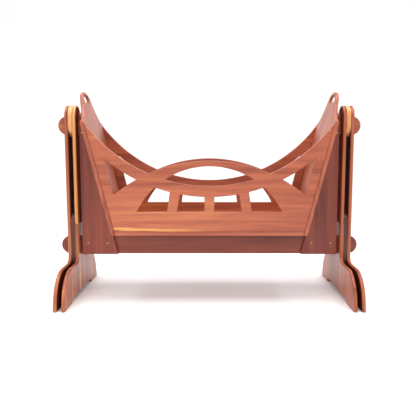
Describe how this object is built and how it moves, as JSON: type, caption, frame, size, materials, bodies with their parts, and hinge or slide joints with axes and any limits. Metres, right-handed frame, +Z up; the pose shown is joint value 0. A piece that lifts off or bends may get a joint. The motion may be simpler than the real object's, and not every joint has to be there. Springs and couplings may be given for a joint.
{
  "type": "swinging cradle",
  "caption": "Wooden swinging baby cradle: a trapezoid basket with arched openwork sides and hand-hole ends, hung on pivot pins between end stands.",
  "frame": {"origin": "on the floor, at the middle of the cradle", "axes": "+X along the cradle towards the right-hand stand, +Y from front to rear, +Z up"},
  "size_m": [1.394, 0.658, 0.939],
  "materials": {
    "stand_wood": "oiled satin",
    "frame_wood": "oiled satin",
    "basket_wood": "oiled satin",
    "sapwood": "oiled satin",
    "dark_wood": "oiled satin",
    "brass": "satin"
  },
  "bodies": {
    "stand": {"left_inner_board": "stand_wood", "left_outer_board": "stand_wood", "left_top_filler": "sapwood", "left_column_filler": "dark_wood", "right_inner_board": "stand_wood", "right_outer_board": "stand_wood", "right_top_filler": "sapwood", "right_column_filler": "dark_wood", "stretcher_rail": "frame_wood", "left_pivot_arm": "stand_wood", "right_pivot_arm": "stand_wood", "left_front_wing": "frame_wood", "left_rear_wing": "frame_wood", "right_front_wing": "frame_wood", "right_rear_wing": "frame_wood", "foot_dowels": "dark_wood", "wing_pins": "brass", "left_pivot_pin": "brass", "right_pivot_pin": "brass"},
    "basket": {"front_panel": "basket_wood", "rear_panel": "basket_wood", "left_end_board": "basket_wood", "right_end_board": "basket_wood", "bottom_board": "basket_wood", "left_pivot_bush": "brass", "right_pivot_bush": "brass"}
  },
  "joints": [
    {"name": "basket_swing", "type": "hinge", "parent": "stand", "child": "basket", "pos_m": [0, 0, 0.786], "axis": [1, 0, 0], "range_deg": [-15, 15]}
  ]
}
